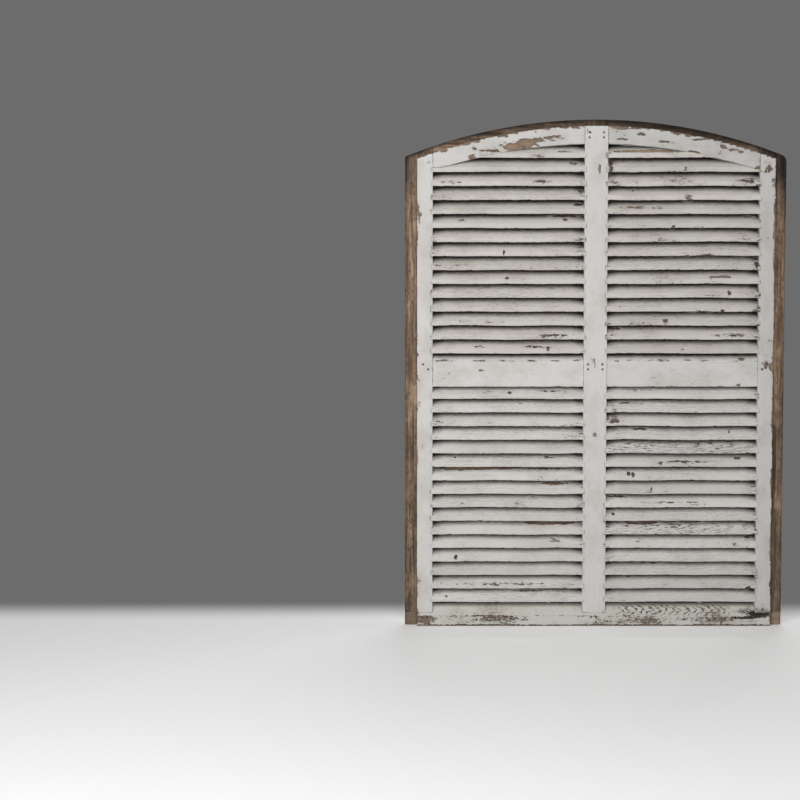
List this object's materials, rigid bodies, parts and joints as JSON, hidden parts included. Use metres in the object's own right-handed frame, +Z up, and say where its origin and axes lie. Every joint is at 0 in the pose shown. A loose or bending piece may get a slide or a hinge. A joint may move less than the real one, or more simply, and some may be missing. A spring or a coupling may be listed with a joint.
{
  "type": "window shutter",
  "caption": "Arched louvred window shutter panel of old painted softwood, with fixed sloping slats in two bays and a rebated lip around the front face.",
  "frame": {"origin": "middle of the bottom edge, halfway through the thickness", "axes": "+Z up towards the crown of the arch, +X to the right as seen from the front, the painted front faces -Y"},
  "size_m": [1.114, 0.042, 1.486],
  "materials": {
    "painted_frame": "chipped off-white paint on softwood, bare weathered brown on the lip",
    "painted_slats": "worn off-white paint on softwood",
    "nail_iron": "dull, rusted"
  },
  "bodies": {
    "root": {"left_stile": "painted_frame", "right_stile": "painted_frame", "centre_stile": "painted_frame", "left_arch_rail": "painted_frame", "right_arch_rail": "painted_frame", "left_mid_rail": "painted_frame", "right_mid_rail": "painted_frame", "bottom_rail": "painted_frame", "joint_nails": "nail_iron", "upper_slats_01": "painted_slats", "upper_slats_02": "painted_slats", "upper_slats_03": "painted_slats", "upper_slats_04": "painted_slats", "upper_slats_05": "painted_slats", "upper_slats_06": "painted_slats", "upper_slats_07": "painted_slats", "upper_slats_08": "painted_slats", "upper_slats_09": "painted_slats", "upper_slats_10": "painted_slats", "upper_slats_11": "painted_slats", "upper_slats_12": "painted_slats", "upper_slats_13": "painted_slats", "upper_slats_14": "painted_slats", "upper_slats_15": "painted_slats", "lower_slats_01": "painted_slats", "lower_slats_02": "painted_slats", "lower_slats_03": "painted_slats", "lower_slats_04": "painted_slats", "lower_slats_05": "painted_slats", "lower_slats_06": "painted_slats", "lower_slats_07": "painted_slats", "lower_slats_08": "painted_slats", "lower_slats_09": "painted_slats", "lower_slats_10": "painted_slats", "lower_slats_11": "painted_slats", "lower_slats_12": "painted_slats", "lower_slats_13": "painted_slats", "lower_slats_14": "painted_slats", "lower_slats_15": "painted_slats", "lower_slats_16": "painted_slats"}
  },
  "joints": []
}
